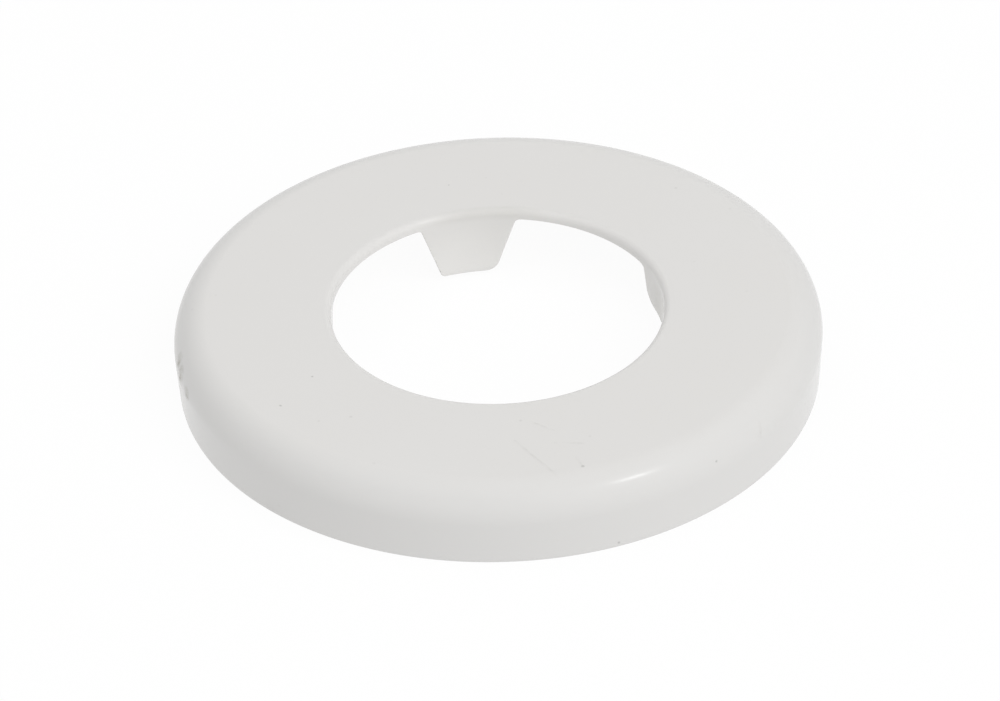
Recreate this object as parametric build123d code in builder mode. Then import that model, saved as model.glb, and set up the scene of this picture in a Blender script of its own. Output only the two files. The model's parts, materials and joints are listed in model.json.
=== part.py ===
"""Pipe rosette: a ring moulded in one piece that hides the gap where a pipe leaves a wall."""
import os
from math import radians, tan

from build123d import *

os.makedirs("parts", exist_ok=True)

# Ring, in millimetres and degrees
outer_diameter = 100.0  # across the ring at its widest, below the shoulder
height = 12.4  # from the wall to the flat top
wall = 1.6  # thickness of the moulded shell
shoulder_radius = 5.2  # outside rounding from the top into the skirt
skirt_lean = 3.8  # by which the skirt draws in from the shoulder down to the wall
hollow_draft = 0.5  # lean of the hollow's side, so that the moulding leaves its core
hollow_chamfer = 2.5  # inside the shoulder, where it keeps the shell about as thick as elsewhere

# Bore for the pipe
pipe_diameter = 50.0
pipe_clearance = 0.6  # all round, between the pipe and the bore
lip_land = 0.5  # straight stretch of the bore below the rounded lip

# Tongues that hang from the lip and guide the pipe
tongue_turn = 9.7  # from +X round to the first short tongue
tongue_root_width = 15.3
tongue_root_thickness = 1.5
tongue_tip_thickness = 1.0
tongue_draft = 0.75  # lean of the inner face away from the pipe, down to the tip
root_rounding = 0.6  # blend where a tongue leaves the underside
long_tip_height = 0.9  # above the wall
long_taper = 18.6  # lean of each side edge
long_tip_radii = (0.9, 2.4)  # left and right corners of the tip, as seen from the bore
short_tip_height = 4.8
short_taper = 12.5
short_tip_radii = (3.0, 2.4)

# Worked out from the sizes above
quarter_turn = 90.0
widest_radius = outer_diameter / 2
widest_height = height - shoulder_radius
underside = height - wall
bore_radius = pipe_diameter / 2 + pipe_clearance
lip_radius = wall - lip_land
tongue_outer_radius = bore_radius + tongue_root_thickness
hollow_radius = widest_radius - wall
hollow_slope = tan(radians(hollow_draft))


def make_tongue(tip_height, taper, tip_radii):
    """One tongue on the +Y side: a curved strip below the bore, cut to a tapered outline."""
    drop = underside - tip_height
    tip_width = tongue_root_width - 2 * drop * tan(radians(taper))
    tip_radius = bore_radius + drop * tan(radians(tongue_draft))
    flare_radius = tongue_outer_radius + root_rounding
    flare_width = tongue_root_width + 2 * root_rounding
    with BuildPart() as tongue:
        with BuildSketch(Plane.XZ) as section:
            with BuildLine():
                Polyline(
                    (tip_radius, tip_height),
                    (tip_radius + tongue_tip_thickness, tip_height),
                    (tongue_outer_radius, underside),
                    (flare_radius, underside),
                    (flare_radius, underside + lip_land),
                    (bore_radius, underside + lip_land),
                    (bore_radius, underside),
                    close=True,
                )
            make_face()
            chamfer(section.vertices().group_by(Axis.Y)[1].sort_by(Axis.X)[1], root_rounding)
        revolve(axis=Axis.Z)
        with BuildSketch(Plane.XZ) as outline:
            with BuildLine():
                Polyline(
                    (-tip_width / 2, tip_height),
                    (tip_width / 2, tip_height),
                    (tongue_root_width / 2, underside),
                    (flare_width / 2, underside),
                    (flare_width / 2, underside + lip_land),
                    (-flare_width / 2, underside + lip_land),
                    (-flare_width / 2, underside),
                    (-tongue_root_width / 2, underside),
                    close=True,
                )
            make_face()
            fillet(outline.vertices().group_by(Axis.Y)[1].sort_by(Axis.X)[1:3], root_rounding)
            fillet(outline.vertices().group_by(Axis.Y)[0].sort_by(Axis.X)[0], tip_radii[0])
            fillet(outline.vertices().group_by(Axis.Y)[0].sort_by(Axis.X)[-1], tip_radii[1])
        extrude(amount=-widest_radius, mode=Mode.INTERSECT)
    return tongue.part


long_tongue = make_tongue(long_tip_height, long_taper, long_tip_radii)
short_tongue = make_tongue(short_tip_height, short_taper, short_tip_radii)

with BuildPart() as rosette:
    # Shell turned about the pipe's axis, from a section between two tongues
    with BuildSketch(Plane.XZ.rotated((0, 0, tongue_turn + quarter_turn / 2))) as section:
        with BuildLine():
            top = Line((bore_radius, height), (widest_radius - shoulder_radius, height))
            shoulder = JernArc(top @ 1, top % 1, shoulder_radius, -quarter_turn - skirt_lean)
            skirt = PolarLine(
                shoulder @ 1, (shoulder @ 1).Y, direction=shoulder % 1, length_mode=LengthMode.VERTICAL
            )
            Polyline(
                skirt @ 1,
                (hollow_radius + widest_height * hollow_slope, 0),
                (hollow_radius - (underside - widest_height) * hollow_slope, underside),
                (bore_radius, underside),
                top @ 0,
            )
        make_face()
        chamfer(section.vertices().group_by(Axis.Y)[2].sort_by(Axis.X)[-1], hollow_chamfer)
        fillet(section.vertices().group_by(Axis.Y)[-1].sort_by(Axis.X)[0], lip_radius)
    revolve(axis=Axis.Z)

    # Two short and two long tongues by turns, blended into the underside
    with PolarLocations(0, 2, start_angle=tongue_turn - quarter_turn):
        add(short_tongue)
    with PolarLocations(0, 2, start_angle=tongue_turn):
        add(long_tongue)
rosette.part.label = "rosette"

export_step(rosette.part, "parts/rosette.step")
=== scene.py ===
"""Pipe rosette: an off-white moulded ring with tongues in its bore, on a pale studio floor."""
import json
from functools import partial, reduce
from math import atan2, cos, hypot, pi, radians, sin, sqrt, tan
from operator import or_

import bmesh
import bpy
from bpy.props import FloatProperty, FloatVectorProperty, PointerProperty
from mathutils import Matrix, Vector


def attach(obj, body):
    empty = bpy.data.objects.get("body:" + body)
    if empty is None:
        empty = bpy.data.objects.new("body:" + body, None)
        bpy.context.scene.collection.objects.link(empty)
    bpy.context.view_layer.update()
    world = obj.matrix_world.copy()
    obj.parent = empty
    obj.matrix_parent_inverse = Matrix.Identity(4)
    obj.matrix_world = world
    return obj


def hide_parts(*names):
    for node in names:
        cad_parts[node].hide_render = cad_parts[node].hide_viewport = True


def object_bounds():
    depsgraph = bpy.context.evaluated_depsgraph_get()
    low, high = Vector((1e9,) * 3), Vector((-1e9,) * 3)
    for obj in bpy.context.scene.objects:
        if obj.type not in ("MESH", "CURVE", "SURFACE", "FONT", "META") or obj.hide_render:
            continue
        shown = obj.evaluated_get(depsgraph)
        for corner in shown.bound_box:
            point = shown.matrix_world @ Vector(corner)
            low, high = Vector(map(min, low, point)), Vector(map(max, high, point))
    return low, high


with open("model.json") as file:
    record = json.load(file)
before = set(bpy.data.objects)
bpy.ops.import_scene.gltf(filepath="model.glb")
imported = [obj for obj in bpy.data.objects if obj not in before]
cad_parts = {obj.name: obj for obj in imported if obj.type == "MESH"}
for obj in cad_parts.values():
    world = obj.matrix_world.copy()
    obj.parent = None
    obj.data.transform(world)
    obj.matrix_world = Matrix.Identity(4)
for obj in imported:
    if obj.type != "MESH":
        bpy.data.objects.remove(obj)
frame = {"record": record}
cad_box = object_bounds()

bl_info = {
    "name": "Pipe Rosette",
    "version": (1, 0, 0),
    "blender": (4, 5, 0),
    "location": "View3D > Sidebar > Rosette",
    "description": "Moulds a pipe rosette over its CAD frame and sets it on a studio floor",
    "category": "Add Mesh",
}

MM = 0.001
SNAP = 0.02 * MM  # corners closer than this lie on the same ring
MERGE = SNAP / 10  # corners closer than this are one
QUARTER = pi / 2

# How finely the moulding is cut
COLUMN = radians(1.5)  # one step of the spin
ROOT_COLUMNS = 13  # from a tongue's middle line to the edge of its root
CORNER_COLUMNS = 7  # round each corner of a tongue's tip
FLARE_ROWS = 4
ROW_LENGTH = 0.9 * MM
SUPPORT = 0.4 * MM  # from the end of a rounding to the loop that holds its flat neighbour
SHARP = radians(50)  # edges above this angle stay crisp
SHOULDER_CUTS = 20
LIP_CUTS = 12
SMALL_CUTS = 3  # in the roundings of the foot and of the hollow
TONGUE_CUTS = 2  # in the softened edges of the tongues

# Directions from the rosette to its lamps, and their distance in metres
KEY_SIDE = (0.50, -0.50, 0.71)
SPARK_SIDE = (0.52, -0.34, 0.78)
FILL_SIDE = (-0.34, 0.0, 0.94)
LAMP_REACH = 2.5

# Floor and camera
FLOOR_HALF = 4.0  # metres from its middle to its edge
FLOOR_GAP = 0.01 * MM  # below the foot
SENSOR = 36.0  # width in millimetres
NEAR_CLIP, FAR_CLIP = 0.01, 100.0

# Scale of the plastic's pattern, and of what breaks up the marks on it
PATCH_SIZE = 22 * MM  # of the slight yellowing
WAVE_SIZE = 9 * MM
GRAIN_SIZE = 0.5 * MM
DUST_SPACING = 4 * MM
SCRATCH_BREAKS = 1.1 * MM
GRIME_BREAKS = 0.8 * MM
RAGGED_EDGE = 0.3 * MM  # by which a mark's edge wanders
CORE = 0.3  # share of a mark's reach that has its full strength
NOISE_ROUGHNESS = 0.55

# Levels of the noise at which a mark is bare and at which it is whole
SCRATCH_LEVELS = (0.35, 0.6)
GRIME_LEVELS = (0.35, 0.65)
DUST_LEVELS = (0.5, 0.6)
DUST_RADII = (0.09, 0.03)  # of a grain of dust, in parts of the spacing

# Where a tint or a painted shade begins and where it is complete, as radii or heights
# Painted shade: from the first radius out, the shoulder and skirt turn darker than the top
SIDE_SHADE_RADII = (45 * MM, 48.5 * MM)
# Darker, yellower tint on the lip above the back tongue: first by radius, then by height
YELLOWER_RADII = (27 * MM, 26.4 * MM)
YELLOWER_HEIGHTS = (10.5 * MM, 11.5 * MM)
# Painted shade on the short tongue at the right, growing from just below the lip downwards
RIGHT_TONGUE_SHADE_HEIGHTS = (11.6 * MM, 10.8 * MM)

# How strongly each kind of mark, painted shade or tint colours the plastic, from 0 to 1
DUST_SHARE = 0.16
SCRATCH_SHARE = 0.13
GRIME_SHARE = 0.6
SPECK_SHARE = 0.26
# Painted shade on the short tongue at the right
RIGHT_TONGUE_SHADE_SHARE = 0.22
YELLOWER_SHARES = (0.08, 0.5)  # all over, and what the rounded lip has besides

# Depth of the waves and marks in the bump, next to the grain's, and what roughens the surface
GRAIN_DEPTH = 0.002 * MM
WAVE_DEPTH = 4.0
SCRATCH_DEPTH = 8.0
SPECK_DEPTH = 10.0
PATCH_ROUGHNESS = 0.06
MARK_ROUGHNESS = 0.2

# Marks of use, patches of painted light and shade and a darker, yellower tint, and how far each one reaches
# in millimetres. A mark on the top is placed by degrees round from +X and by its radius, and one on the
# side or in the bore by degrees and its height.
SPECKS = {
    "left of the bore": (("top", 212, 33.5), 0.28),
    "front left": (("top", 217, 41.5), 0.32),
    "end of the short scratch": (("top", 285.5, 44.5), 0.38),
    "right of the front": (("side", 310, 9), 0.28),
    "behind the bore": (("top", 102, 34), 0.20),
    "edge of the foot": (("side", 290, 0.8), 0.32),
}
SCRATCHES = {
    "long": (("top", 273, 36), ("top", 280, 45.5), 0.30),
    "short": (("top", 285, 42), ("top", 285.5, 44), 0.28),
    "near the lip": (("top", 278, 31.5), ("top", 283, 34.5), 0.28),
    "across": (("top", 282, 37.5), ("top", 288, 39), 0.26),
    "right shoulder": (("side", 322, 10), ("side", 321, 8), 0.40),
}
GRIME = {
    "left side, high": (("side", 189, 9.2), 1.6),
    "left side, middle": (("side", 192, 8.2), 2.0),
    "left side, low": (("side", 197, 7.6), 1.5),
}
# Painted light: the two long tongues are coloured lighter, standing in for the light on their faces
PAINTED_LIGHT_TONGUES = (("bore", 80, 3), 9.5)  # folded into the first quarter, so that it covers both
# Painted shade: the short tongue at the right is coloured a darker olive, standing in for the dim light on
# it
RIGHT_TONGUE_SHADE = (("bore", 7, 6.5), 7.5)
# Darker, yellower tint on the lip above the back tongue
YELLOWER_LIP = (("bore", 93, 11.2), 11.0)

bore_dims = next(m["dims"] for m in frame["record"]["mounts"] if m["name"] == "pipe_bore")


def distance(name, description, default):
    """A length in metres for a property group."""
    return FloatProperty(
        name=name, description=description, default=default, min=0.0, precision=5,
        unit="LENGTH", subtype="DISTANCE",
    )


def angle(name, description, degrees_):
    """An angle for a property group, given in degrees."""
    return FloatProperty(
        name=name, description=description, default=radians(degrees_), unit="ROTATION", subtype="ANGLE",
    )


def colour(name, description, default):
    """A linear colour for a property group."""
    return FloatVectorProperty(
        name=name, description=description, default=default, size=3, min=0.0, max=1.0, subtype="COLOR",
    )


def level(name, description, default, top):
    """A plain number from 0 to top for a property group."""
    return FloatProperty(name=name, description=description, default=default, min=0.0, max=top)


class RosetteRing(bpy.types.PropertyGroup):
    """Sizes of the ring that is turned about the pipe's axis."""

    widest_radius: distance("Widest radius", "From the pipe's axis to the ring's widest part", cad_box[1].x)
    height: distance("Height", "From the wall to the flat top", cad_box[1].z)
    wall: distance("Wall", "Thickness of the moulded shell", 1.6 * MM)
    shoulder: distance("Shoulder", "Outside rounding from the top into the skirt", 5.2 * MM)
    skirt_lean: angle("Skirt lean", "How far the skirt draws in from the shoulder to the wall", 3.8)
    hollow_draft: angle("Hollow draft", "Lean of the hollow's side", 0.5)
    hollow_chamfer: distance("Hollow chamfer", "Chamfer inside the shoulder", 2.5 * MM)
    hollow_rounding: distance("Hollow rounding", "Softening of the chamfer's two edges", 0.8 * MM)
    bore_radius: distance("Bore radius", "From the pipe's axis to the bore", bore_dims["r_mm"] * MM)
    lip_land: distance("Lip land", "Straight stretch below the rounded lip", bore_dims["length_mm"] * MM)
    foot_rounding: distance("Foot rounding", "Worn edges of the foot", 0.2 * MM)


class RosetteTongues(bpy.types.PropertyGroup):
    """Sizes of the tongues that hang from the lip."""

    turn: angle("Turn", "From +X round to the first short tongue", 9.7)
    root_width: distance("Root width", "Across a tongue where it leaves the underside", 15.3 * MM)
    root_thickness: distance("Root thickness", "Through a tongue at its root", 1.5 * MM)
    tip_thickness: distance("Tip thickness", "Through a tongue at its tip", 1.0 * MM)
    draft: angle("Draft", "Lean of the inner face away from the pipe", 0.75)
    root_rounding: distance("Root rounding", "Blend where a tongue leaves the underside", 0.6 * MM)
    edge_rounding: distance("Edge rounding", "Softening of a tongue's edges", 0.18 * MM)
    long_tip: distance("Long tip", "Height of a long tongue's tip above the wall", 0.9 * MM)
    long_taper: angle("Long taper", "Lean of a long tongue's side edges", 18.6)
    long_left: distance("Long left corner", "Left corner of a long tip, seen from the bore", 0.9 * MM)
    long_right: distance("Long right corner", "Right corner of a long tip, seen from the bore", 2.4 * MM)
    short_tip: distance("Short tip", "Height of a short tongue's tip above the wall", 4.8 * MM)
    short_taper: angle("Short taper", "Lean of a short tongue's side edges", 12.5)
    short_left: distance("Short left corner", "Left corner of a short tip, seen from the bore", 3.0 * MM)
    short_right: distance("Short right corner", "Right corner of a short tip, seen from the bore", 2.4 * MM)


class RosetteFinish(bpy.types.PropertyGroup):
    """Colours and gloss of the moulded plastic."""

    plastic: colour("Plastic", "Off-white of the flat top", (0.711, 0.704, 0.693))
    plastic_warm: colour("Warm patches", "Slightly yellowed parts of the moulding", (0.704, 0.694, 0.676))
    # Painted shade: the shoulder and skirt are coloured darker than the top, standing in for the dimmer
    # light on them
    side_painted_shade: colour("Side", "Handled shoulder and skirt", (0.664, 0.658, 0.647))
    # Painted light: the long tongues are coloured lighter than the rest, standing in for the light they
    # catch
    long_tongue_painted_light: colour(
        "Fresh plastic", "Long tongues, which light and hands reach least", (0.735, 0.727, 0.710)
    )
    dirt: colour("Dirt", "Specks pressed into the surface", (0.060, 0.055, 0.045))
    scuff: colour("Scuffs", "Grey of the scratches", (0.30, 0.29, 0.27))
    # Olive of the grime on the left side, used as well for the painted shade on the short tongue at the
    # right
    grime_and_shade: colour("Grime", "Olive dirt on the side", (0.20, 0.19, 0.13))
    # Darker, yellower tint of the lip above the back tongue
    yellower: colour("Yellowed lip", "Lip above the back tongue", (0.63, 0.622, 0.598))
    gloss: level("Gloss", "Strength of the reflections", 0.12, 1.0)
    roughness: level("Roughness", "Satin gloss of the moulding", 0.2, 1.0)


class RosetteStage(bpy.types.PropertyGroup):
    """Light, floor and camera around the rosette."""

    floor: colour("Floor", "Colour of the floor", (0.93, 0.93, 0.93))
    floor_glow: level("Floor glow", "Share of plain white in the floor that the camera sees", 0.93, 1.0)
    floor_bounce: level(
        "Floor bounce", "Share of plain white in the floor that lights the rosette", 0.96, 1.0
    )
    sky: level("Sky", "Level of the even light from all round", 0.6, 5.0)
    key_power: level("Key power", "Watts of the broad soft box at the right", 32.0, 100.0)
    key_size: distance("Key size", "Side of the broad soft box at the right", 2.25)
    spark_power: level("Spark power", "Watts of the small lamp that gives the highlight", 13.0, 100.0)
    spark_size: distance("Spark size", "Side of the small lamp that gives the highlight", 0.3)
    fill_power: level("Fill power", "Watts of the soft box overhead", 11.5, 100.0)
    fill_size: distance("Fill size", "Side of the soft box overhead", 2.25)
    lens: FloatProperty(
        name="Lens", description="Focal length in millimetres", default=234.09, unit="CAMERA",
    )
    camera_distance: distance("Camera distance", "From the top of the rosette to the camera", 1.0)
    camera_elevation: angle("Camera elevation", "Angle of the camera above the floor", 34.855)
    camera_roll: angle("Camera roll", "Tilt of the picture, right side up", 1.83)
    aim_side: distance("Aim side", "How far right of the axis the picture is centred", 0.18 * MM)
    aim_height: distance("Aim height", "Height above the wall where the picture is centred", 3.586 * MM)


class Wire:
    """A socket whose sums and products add Math nodes."""

    def __init__(self, bench, socket):
        self.bench = bench
        self.socket = socket

    def maths(self, operation, first, second):
        return self.bench.add("ShaderNodeMath", {"operation": operation}, {0: first, 1: second})

    def __add__(self, other):
        return self.maths("ADD", self, other)

    def __radd__(self, other):
        return self.maths("ADD", other, self)

    def __sub__(self, other):
        return self.maths("SUBTRACT", self, other)

    def __rsub__(self, other):
        return self.maths("SUBTRACT", other, self)

    def __mul__(self, other):
        return self.maths("MULTIPLY", self, other)

    def __rmul__(self, other):
        return self.maths("MULTIPLY", other, self)

    def __or__(self, other):
        return self.maths("MAXIMUM", self, other)

    def __ror__(self, other):
        return self.maths("MAXIMUM", other, self)


class NodeBench:
    """Adds nodes to one node tree."""

    def __init__(self, tree):
        self.tree = tree
        tree.nodes.clear()

    def add(self, kind, settings=None, sockets=None, output=0):
        """A new node of this kind, its settings first and then its sockets' values or links."""
        node = self.tree.nodes.new(kind)
        for name, value in (settings or {}).items():
            setattr(node, name, value)
        for name, value in (sockets or {}).items():
            if isinstance(value, Wire):
                self.tree.links.new(value.socket, node.inputs[name])
            else:
                node.inputs[name].default_value = value
        return Wire(self, node.outputs[output]) if len(node.outputs) else None


def opaque(rgb):
    """A property's colour with full alpha, as colour sockets take it."""
    return (*rgb, 1.0)


def new_piece(name, bm, material):
    """Turns a bmesh into an object that wears the material."""
    mesh = bpy.data.meshes.new(name)
    bm.to_mesh(mesh)
    bm.free()
    piece = bpy.data.objects.new(name, mesh)
    bpy.context.scene.collection.objects.link(piece)
    piece.data.materials.append(material)
    return piece


def underside(ring):
    """Height of the shell's underside."""
    return ring.height - ring.wall


def widest_height(ring):
    """Height at which the ring is widest."""
    return ring.height - ring.shoulder


def skirt_radius(ring, height):
    """From the pipe's axis to the skirt, whose line is carried on up past the shoulder."""
    bulge = ring.shoulder * (1 / cos(ring.skirt_lean) - 1)
    return ring.widest_radius + bulge + (height - widest_height(ring)) * tan(ring.skirt_lean)


def point_on(ring, surface, turn, measure):
    """A point of the top at this radius, or of the side or the bore at this height, in millimetres."""
    radius = height = measure * MM
    if surface == "top":
        height = ring.height
    elif surface == "bore":
        radius = ring.bore_radius
    else:
        above = height - widest_height(ring)
        radius = skirt_radius(ring, height)
        if above > -ring.shoulder * sin(ring.skirt_lean):
            radius = ring.widest_radius - ring.shoulder + sqrt(ring.shoulder ** 2 - above ** 2)
    return Vector((radius * cos(radians(turn)), radius * sin(radians(turn)), height))


def flare_radius(ring, tongues):
    """Where the blend behind a tongue's root meets the underside."""
    return ring.bore_radius + tongues.root_thickness + tongues.root_rounding


def round_ring(bm, radius, height, rounding, corner, segments):
    """Rounds the ring of edges at this radius and height, where two faces meet at the corner angle."""
    def on_ring(vert):
        return abs(hypot(vert.co.x, vert.co.y) - radius) < SNAP and abs(vert.co.z - height) < SNAP

    edges = [edge for edge in bm.edges if all(on_ring(vert) for vert in edge.verts)]
    if not edges:
        raise RuntimeError(f"no ring at radius {radius} and height {height}")
    bmesh.ops.bevel(
        bm, geom=edges, offset=rounding * tan((pi - corner) / 2), offset_type="OFFSET",
        affect="EDGES", segments=segments, profile=0.5, material=-1,
    )


def turn_ring(bm, ring, tongues):
    """Spins the shell's section about the pipe's axis and rounds its corners."""
    under = underside(ring)
    lip = ring.wall - ring.lip_land
    flare = flare_radius(ring, tongues)
    widest = widest_height(ring)
    chamfer_foot = under - ring.hollow_chamfer
    foot_loop = ring.foot_rounding + SUPPORT
    skirt_loop = widest - ring.shoulder * sin(ring.skirt_lean) - SUPPORT
    blunt = QUARTER + ring.skirt_lean
    sharp = QUARTER - ring.skirt_lean
    chamfered = 1.5 * QUARTER
    skirt = partial(skirt_radius, ring)

    def hollow(height):
        return ring.widest_radius - ring.wall - (height - widest) * tan(ring.hollow_draft)

    chamfer_top = hollow(under) - ring.hollow_chamfer
    section = [
        (hollow(0), 0),
        (skirt(0), 0),
        (skirt(foot_loop), foot_loop),
        (skirt(skirt_loop), skirt_loop),
        (skirt(ring.height), ring.height),
        (ring.widest_radius - ring.shoulder - SUPPORT, ring.height),
        (ring.bore_radius + lip + SUPPORT, ring.height),
        (ring.bore_radius, ring.height),
        (ring.bore_radius, under),
        (flare, under),
        (flare + SUPPORT, under),
        (chamfer_top - ring.hollow_rounding, under),
        (chamfer_top, under),
        (hollow(chamfer_foot), chamfer_foot),
        (hollow(chamfer_foot - ring.hollow_rounding), chamfer_foot - ring.hollow_rounding),
        (hollow(foot_loop), foot_loop),
    ]
    start = Matrix.Rotation(tongues.turn, 4, "Z")
    verts = [bm.verts.new(start @ Vector((radius, 0, height))) for radius, height in section]
    edges = [bm.edges.new((vert, verts[n - 1])) for n, vert in enumerate(verts)]
    bmesh.ops.spin(
        bm, geom=verts + edges, cent=(0, 0, 0), axis=(0, 0, 1), angle=2 * pi,
        steps=round(2 * pi / COLUMN), use_merge=True,
    )
    bmesh.ops.remove_doubles(bm, verts=bm.verts, dist=MERGE)
    bmesh.ops.recalc_face_normals(bm, faces=bm.faces)
    round_ring(bm, skirt(ring.height), ring.height, ring.shoulder, sharp, SHOULDER_CUTS)
    round_ring(bm, ring.bore_radius, ring.height, lip, QUARTER, LIP_CUTS)
    round_ring(bm, chamfer_top, under, ring.hollow_rounding, chamfered, SMALL_CUTS)
    round_ring(bm, hollow(chamfer_foot), chamfer_foot, ring.hollow_rounding, chamfered, SMALL_CUTS)
    round_ring(bm, skirt(0), 0, ring.foot_rounding, blunt, SMALL_CUTS)
    round_ring(bm, hollow(0), 0, ring.foot_rounding, QUARTER, SMALL_CUTS)


def tip_outline(root_width, drop, taper, left_corner, right_corner):
    """Where each column of a tongue ends: across from its middle line, and down from its root."""
    def corner(radius):
        tangent = drop - radius + radius * sin(taper)
        return root_width / 2 - tangent * tan(taper) - radius * cos(taper)

    def on_corner(radius, share):
        lean = taper + (QUARTER - taper) * share
        return corner(radius) + radius * cos(lean), drop - radius + radius * sin(lean)

    left, right = corner(left_corner), corner(right_corner)
    last = 2 * ROOT_COLUMNS
    flat = last - 2 * CORNER_COLUMNS
    ends = []
    for column in range(last + 1):
        if column < CORNER_COLUMNS:
            across, down = on_corner(left_corner, column / CORNER_COLUMNS)
            ends.append((-across, down))
        elif column > last - CORNER_COLUMNS:
            ends.append(on_corner(right_corner, (last - column) / CORNER_COLUMNS))
        else:
            share = (column - CORNER_COLUMNS) / flat
            ends.append((-left + (left + right) * share, drop))
    return ends


def hang_tongue(bm, ring, tongues, middle, kind):
    """Extrudes one tongue down from the underside, row by row, at this angle round the bore."""
    under = underside(ring)
    tip_height, taper, left_corner, right_corner = (
        getattr(tongues, f"{kind}_{part}") for part in ("tip", "taper", "left", "right")
    )
    drop = under - tip_height
    outer_root = ring.bore_radius + tongues.root_thickness
    outer_tip = ring.bore_radius + drop * tan(tongues.draft) + tongues.tip_thickness
    ends = tip_outline(tongues.root_width, drop, taper, left_corner, right_corner)
    column_of = bm.verts.layers.int["column"]
    outside = bm.verts.layers.int["outside"]
    turn = Matrix.Rotation(middle - QUARTER, 4, "Z")
    back = turn.inverted()

    def beside(co):
        """Angle from the tongue's middle line, to the right as seen from the bore."""
        local = back @ co
        return atan2(local.x, local.y)

    def is_root(face):
        centre = face.calc_center_median()
        radius = hypot(centre.x, centre.y)
        return (
            abs(centre.z - under) < SNAP
            and ring.bore_radius < radius < flare_radius(ring, tongues)
            and abs(beside(centre)) < ROOT_COLUMNS * COLUMN
        )

    def place(vert, share):
        spread = vert[column_of] / ROOT_COLUMNS - 1
        across, down = ends[vert[column_of]]
        depth = down * share
        root_side = spread * tongues.root_width / 2
        short_of = max(tongues.root_rounding - depth, 0.0)
        flare = tongues.root_rounding - sqrt(tongues.root_rounding ** 2 - short_of ** 2)
        side = root_side + (across - root_side) * share + spread * flare
        if vert[outside]:
            radius = outer_root + (outer_tip - outer_root) * depth / drop + flare
        else:
            radius = ring.bore_radius + depth * tan(tongues.draft)
        return turn @ Vector((side, sqrt(radius ** 2 - side ** 2), under - depth))

    faces = [face for face in bm.faces if is_root(face)]
    if len(faces) != 2 * ROOT_COLUMNS:
        raise RuntimeError(f"a tongue's root has {len(faces)} faces")
    for vert in {vert for face in faces for vert in face.verts}:
        vert[column_of] = round(beside(vert.co) / COLUMN) + ROOT_COLUMNS
        vert[outside] = hypot(vert.co.x, vert.co.y) > outer_root
    flare_shares = [
        tongues.root_rounding * (1 - cos(QUARTER * row / FLARE_ROWS)) / drop
        for row in range(1, FLARE_ROWS + 1)
    ]
    start = flare_shares[-1]
    rows = round(drop / ROW_LENGTH)
    row_shares = [start + (1 - start) * row / rows for row in range(1, rows + 1)]
    for share in flare_shares + row_shares:
        grown = bmesh.ops.extrude_face_region(bm, geom=faces)["geom"]
        bmesh.ops.delete(bm, geom=faces, context="FACES")
        faces = [item for item in grown if isinstance(item, bmesh.types.BMFace)]
        for vert in {vert for face in faces for vert in face.verts}:
            vert.co = place(vert, share)


def soften_tongues(bm, ring, tongues):
    """Rounds the outline edges of the tongues, but not the top quarter of the blend at their roots."""
    below = underside(ring) - tongues.root_rounding / 4
    near = flare_radius(ring, tongues)

    def is_outline(edge):
        return (
            len(edge.link_faces) == 2
            and all(vert.co.z < below and hypot(vert.co.x, vert.co.y) < near for vert in edge.verts)
            and edge.calc_face_angle() > SHARP
        )

    bmesh.ops.bevel(
        bm, geom=[edge for edge in bm.edges if is_outline(edge)], offset=tongues.edge_rounding,
        offset_type="OFFSET", affect="EDGES", segments=TONGUE_CUTS, profile=0.5, material=-1,
    )


class MarkMaker:
    """Masks of the marks on one material, with slightly ragged edges."""

    def __init__(self, bench, ring, place, ragged):
        self.bench = bench
        self.ring = ring
        shake = self.vector("MULTIPLY_ADD", ragged, (RAGGED_EDGE,) * 3, (-RAGGED_EDGE / 2,) * 3)
        self.place = self.vector("ADD", place, shake)

    def vector(self, operation, first, second, third=(0, 0, 0), output="Vector"):
        """A Vector Math node."""
        return self.bench.add(
            "ShaderNodeVectorMath", {"operation": operation}, {0: first, 1: second, 2: third}, output
        )

    def fade(self, offset, reach):
        """1 where the offset is short, falling to 0 where it is as long as the reach."""
        length = self.vector("LENGTH", offset, (0, 0, 0), output="Value")
        return self.bench.add(
            "ShaderNodeMapRange", {"interpolation_type": "SMOOTHSTEP"},
            {"Value": length, "From Min": reach * MM, "From Max": CORE * reach * MM},
        )

    def region(self, place, centre, reach):
        """A round area about the centre, with an edge as smooth as the place."""
        return self.fade(self.vector("SUBTRACT", place, point_on(self.ring, *centre)), reach)

    def spot(self, centre, reach):
        """A small round mark."""
        return self.region(self.place, centre, reach)

    def stroke(self, start, end, reach):
        """A straight line from start to end."""
        first = point_on(self.ring, *start)
        run = point_on(self.ring, *end) - first
        offset = self.vector("SUBTRACT", self.place, first)
        share = self.vector("DOT_PRODUCT", offset, run / run.length_squared, output="Value")
        share = self.bench.add("ShaderNodeClamp", None, {"Value": share})
        foot = self.bench.add("ShaderNodeVectorMath", {"operation": "SCALE"}, {0: run, "Scale": share})
        return self.fade(self.vector("SUBTRACT", offset, foot), reach)


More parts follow.
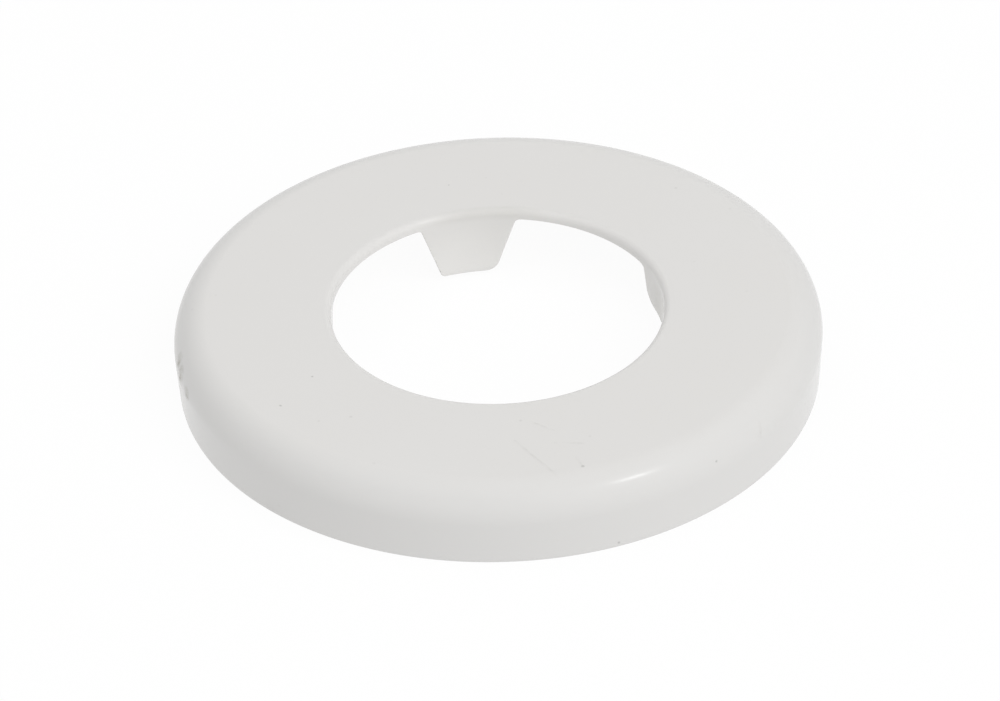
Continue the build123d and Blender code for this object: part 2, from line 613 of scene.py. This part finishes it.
def plastic_material(finish, ring):
    """Satin off-white plastic, as moulded, with a few specks, scratches and some grime, painted shade on
    its sides and on one short tongue, painted light on the long tongues, and a darker, yellower lip above
    the back tongue.
    """
    material = bpy.data.materials.new("white_plastic")
    material.use_nodes = True
    bench = NodeBench(material.node_tree)
    place = bench.add("ShaderNodeTexCoord", output="Object")

    def noise(size, detail, output="Fac"):
        return bench.add(
            "ShaderNodeTexNoise", None,
            {"Vector": place, "Scale": 1 / size, "Detail": detail, "Roughness": NOISE_ROUGHNESS}, output,
        )

    def ramp(value, low, high):
        return bench.add("ShaderNodeMapRange", None, {"Value": value, "From Min": low, "From Max": high})

    # Mixes a tint, a mark, or painted shade or light into the colour under it
    def mix_tint(under, mask, tint):
        return bench.add("ShaderNodeMix", {"data_type": "RGBA"}, {0: mask, 6: under, 7: opaque(tint)}, 2)

    def any_of(masks):
        return reduce(or_, masks)

    outwards = bench.add("ShaderNodeVectorMath", {"operation": "MULTIPLY"}, {0: place, 1: (1, 1, 0)})
    radius = bench.add("ShaderNodeVectorMath", {"operation": "LENGTH"}, {0: outwards}, "Value")
    height = bench.add("ShaderNodeSeparateXYZ", None, {"Vector": place}, "Z")
    folded = bench.add("ShaderNodeVectorMath", {"operation": "ABSOLUTE"}, {0: place})
    patches = noise(PATCH_SIZE, 3.0)
    waves = noise(WAVE_SIZE, 1.0)
    grain = noise(GRAIN_SIZE, 2.0)

    # Masks of the marks, of the painted shade and light, and of the darker, yellower lip
    marks = MarkMaker(bench, ring, place, noise(GRAIN_SIZE, 2.0, "Color"))
    specks = any_of(marks.spot(*mark) for mark in SPECKS.values())
    scratches = any_of(marks.stroke(*mark) for mark in SCRATCHES.values())
    scratches = scratches * ramp(noise(SCRATCH_BREAKS, 2.0), *SCRATCH_LEVELS)
    grime_and_shade = any_of(marks.spot(*mark) for mark in GRIME.values())
    grime_and_shade = grime_and_shade * ramp(noise(GRIME_BREAKS, 3.0), *GRIME_LEVELS)
    cells = bench.add(
        "ShaderNodeTexVoronoi", None, {"Vector": place, "Scale": 1 / DUST_SPACING}, "Distance"
    )
    dust = ramp(cells, *DUST_RADII) * ramp(waves, *DUST_LEVELS)
    # Painted shade on the short tongue at the right, below the lip
    right_tongue_painted_shade = marks.region(place, *RIGHT_TONGUE_SHADE) * ramp(height, *RIGHT_TONGUE_SHADE_HEIGHTS)
    # Darker, yellower tint on the lip above the back tongue, strongest on the rounded lip
    yellower_lip = marks.region(place, *YELLOWER_LIP) * ramp(radius, *YELLOWER_RADII)
    yellower_all, yellower_more = YELLOWER_SHARES
    yellower_lip = yellower_lip * (yellower_all + ramp(height, *YELLOWER_HEIGHTS) * yellower_more)

    # Colour, from the plastic itself, through its painted shade and light, up to the specks
    base = mix_tint(opaque(finish.plastic), patches, finish.plastic_warm)
    # Painted shade on the shoulder and skirt
    base = mix_tint(base, ramp(radius, *SIDE_SHADE_RADII), finish.side_painted_shade)
    # Painted light on the long tongues
    base = mix_tint(base, marks.region(folded, *PAINTED_LIGHT_TONGUES), finish.long_tongue_painted_light)
    # Darker, yellower tint on the lip above the back tongue
    base = mix_tint(base, yellower_lip, finish.yellower)
    # Painted shade on the short tongue at the right
    base = mix_tint(base, right_tongue_painted_shade * RIGHT_TONGUE_SHADE_SHARE, finish.grime_and_shade)
    base = mix_tint(base, dust * DUST_SHARE, finish.scuff)
    base = mix_tint(base, scratches * SCRATCH_SHARE, finish.scuff)
    base = mix_tint(base, grime_and_shade * GRIME_SHARE, finish.grime_and_shade)
    base = mix_tint(base, specks * SPECK_SHARE, finish.dirt)

    # Grain and waves, with the marks pressed in
    relief = grain + waves * WAVE_DEPTH - scratches * SCRATCH_DEPTH - specks * SPECK_DEPTH
    bump = bench.add("ShaderNodeBump", None, {"Strength": 1.0, "Distance": GRAIN_DEPTH, "Height": relief})
    roughness = finish.roughness - PATCH_ROUGHNESS / 2 + patches * PATCH_ROUGHNESS
    shader = bench.add(
        "ShaderNodeBsdfPrincipled", None,
        {
            "Base Color": base,
            "Roughness": roughness + (scratches | grime_and_shade) * MARK_ROUGHNESS,
            "Specular IOR Level": finish.gloss,
            "Normal": bump,
        },
    )
    bench.add("ShaderNodeOutputMaterial", None, {"Surface": shader})
    return material


def seen_rays(bench):
    """1 for the rays that show the backdrop: straight to the camera, reflected or through glass."""
    def ray(output):
        return bench.add("ShaderNodeLightPath", output=output)

    return ray("Is Camera Ray") | ray("Is Glossy Ray") | ray("Is Transmission Ray")


def floor_material(stage):
    """Pale floor that takes the rosette's shadow, and is clear from below."""
    material = bpy.data.materials.new("pale_floor")
    material.use_nodes = True
    bench = NodeBench(material.node_tree)
    paper = bench.add("ShaderNodeBsdfDiffuse", None, {"Color": opaque(stage.floor)})
    white = bench.add("ShaderNodeEmission", None, {"Strength": 1.0})
    glow = stage.floor_bounce + seen_rays(bench) * (stage.floor_glow - stage.floor_bounce)
    lit = bench.add("ShaderNodeMixShader", None, {0: glow, 1: paper, 2: white})
    clear = bench.add("ShaderNodeBsdfTransparent")
    below = bench.add("ShaderNodeNewGeometry", output="Backfacing")
    surface = bench.add("ShaderNodeMixShader", None, {0: below, 1: lit, 2: clear})
    bench.add("ShaderNodeOutputMaterial", None, {"Surface": surface})
    return material


def add_sky(stage):
    """Even light from all round, with a white backdrop where it is seen."""
    world = bpy.data.worlds.new("studio_sky")
    world.use_nodes = True
    bench = NodeBench(world.node_tree)
    strength = stage.sky + seen_rays(bench) * (1 - stage.sky)
    backdrop = bench.add("ShaderNodeBackground", None, {"Color": (1, 1, 1, 1), "Strength": strength})
    bench.add("ShaderNodeOutputWorld", None, {"Surface": backdrop})
    bpy.context.scene.world = world


def add_soft_box(name, direction, size, power, gleam):
    """A square area lamp that faces the rosette and either lights it or only gleams in it."""
    lamp = bpy.data.lights.new(name, "AREA")
    lamp.size = size
    lamp.energy = power
    box = bpy.data.objects.new(name, lamp)
    towards = Vector(direction).normalized()
    box.location = towards * LAMP_REACH
    box.rotation_euler = towards.to_track_quat("Z", "Y").to_euler()
    box.visible_glossy = gleam
    box.visible_diffuse = not gleam
    bpy.context.scene.collection.objects.link(box)


def add_camera(stage, ring_height):
    """The camera at the photograph's viewing angle."""
    data = bpy.data.cameras.new("photo_camera")
    data.lens = stage.lens
    data.sensor_width = SENSOR
    data.clip_start = NEAR_CLIP
    data.clip_end = FAR_CLIP
    camera = bpy.data.objects.new("photo_camera", data)
    place = Vector((0, -cos(stage.camera_elevation), sin(stage.camera_elevation))) * stage.camera_distance
    place.z += ring_height
    back = (place - Vector((stage.aim_side, 0, stage.aim_height))).normalized()
    right = Vector((0, 0, 1)).cross(back).normalized()
    upright = Matrix((right, back.cross(right), back)).transposed().to_4x4()
    camera.matrix_world = Matrix.Translation(place) @ upright @ Matrix.Rotation(-stage.camera_roll, 4, "Z")
    bpy.context.scene.collection.objects.link(camera)
    bpy.context.scene.camera = camera


class ROSETTE_OT_mould(bpy.types.Operator):
    """Model the ring with its four tongues as one moulded piece"""

    bl_idname = "rosette.mould"
    bl_label = "Mould the Rosette"

    def execute(self, context):
        ring, tongues = context.scene.rosette_ring, context.scene.rosette_tongues
        bm = bmesh.new()
        turn_ring(bm, ring, tongues)
        for name in ("column", "outside"):
            bm.verts.layers.int.new(name)
        for quarter in range(4):
            hang_tongue(bm, ring, tongues, tongues.turn + quarter * QUARTER, ("short", "long")[quarter % 2])
        for name in ("column", "outside"):
            bm.verts.layers.int.remove(bm.verts.layers.int[name])
        soften_tongues(bm, ring, tongues)
        bmesh.ops.recalc_face_normals(bm, faces=bm.faces)
        for face in bm.faces:
            face.smooth = True
        for edge in bm.edges:
            edge.smooth = edge.calc_face_angle(0.0) < SHARP
        piece = new_piece("rosette_moulding", bm, plastic_material(context.scene.rosette_finish, ring))
        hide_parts("rosette")
        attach(piece, "root")
        return {"FINISHED"}


class ROSETTE_OT_stage(bpy.types.Operator):
    """Set the floor, the soft light and the camera"""

    bl_idname = "rosette.stage"
    bl_label = "Set the Stage"

    def execute(self, context):
        stage = context.scene.rosette_stage
        bm = bmesh.new()
        bmesh.ops.create_grid(bm, x_segments=1, y_segments=1, size=FLOOR_HALF)
        bmesh.ops.translate(bm, verts=bm.verts, vec=(0, 0, -FLOOR_GAP))
        floor = new_piece("studio_floor", bm, floor_material(stage))
        add_sky(stage)
        add_soft_box("key_box", KEY_SIDE, stage.key_size, stage.key_power, False)
        add_soft_box("fill_box", FILL_SIDE, stage.fill_size, stage.fill_power, False)
        add_soft_box("spark_box", SPARK_SIDE, stage.spark_size, stage.spark_power, True)
        add_camera(stage, context.scene.rosette_ring.height)
        context.scene.view_settings.view_transform = "Standard"
        return {"FINISHED"}


class ROSETTE_PT_sidebar(bpy.types.Panel):
    """Sizes, colours and steps of the rosette"""

    bl_idname = "ROSETTE_PT_sidebar"
    bl_label = "Pipe Rosette"
    bl_space_type = "VIEW_3D"
    bl_region_type = "UI"
    bl_category = "Rosette"

    def draw(self, context):
        for heading, group in GROUPS.items():
            box = self.layout.box()
            box.label(text=group.__doc__)
            settings = getattr(context.scene, heading)
            for name in group.__annotations__:
                box.prop(settings, name)
        for operator in OPERATORS:
            self.layout.operator(operator.bl_idname)


GROUPS = {
    "rosette_ring": RosetteRing,
    "rosette_tongues": RosetteTongues,
    "rosette_finish": RosetteFinish,
    "rosette_stage": RosetteStage,
}
OPERATORS = (ROSETTE_OT_mould, ROSETTE_OT_stage)


def register():
    for cls in (*GROUPS.values(), *OPERATORS, ROSETTE_PT_sidebar):
        bpy.utils.register_class(cls)
    for name, group in GROUPS.items():
        setattr(bpy.types.Scene, name, PointerProperty(type=group))


def unregister():
    for name in GROUPS:
        delattr(bpy.types.Scene, name)
    for cls in (ROSETTE_PT_sidebar, *reversed(OPERATORS), *reversed(GROUPS.values())):
        bpy.utils.unregister_class(cls)


def main():
    """Registers the classes, and makes every piece and the stage."""
    register()
    bpy.ops.rosette.mould()
    bpy.ops.rosette.stage()


if __name__ == "__main__":
    main()
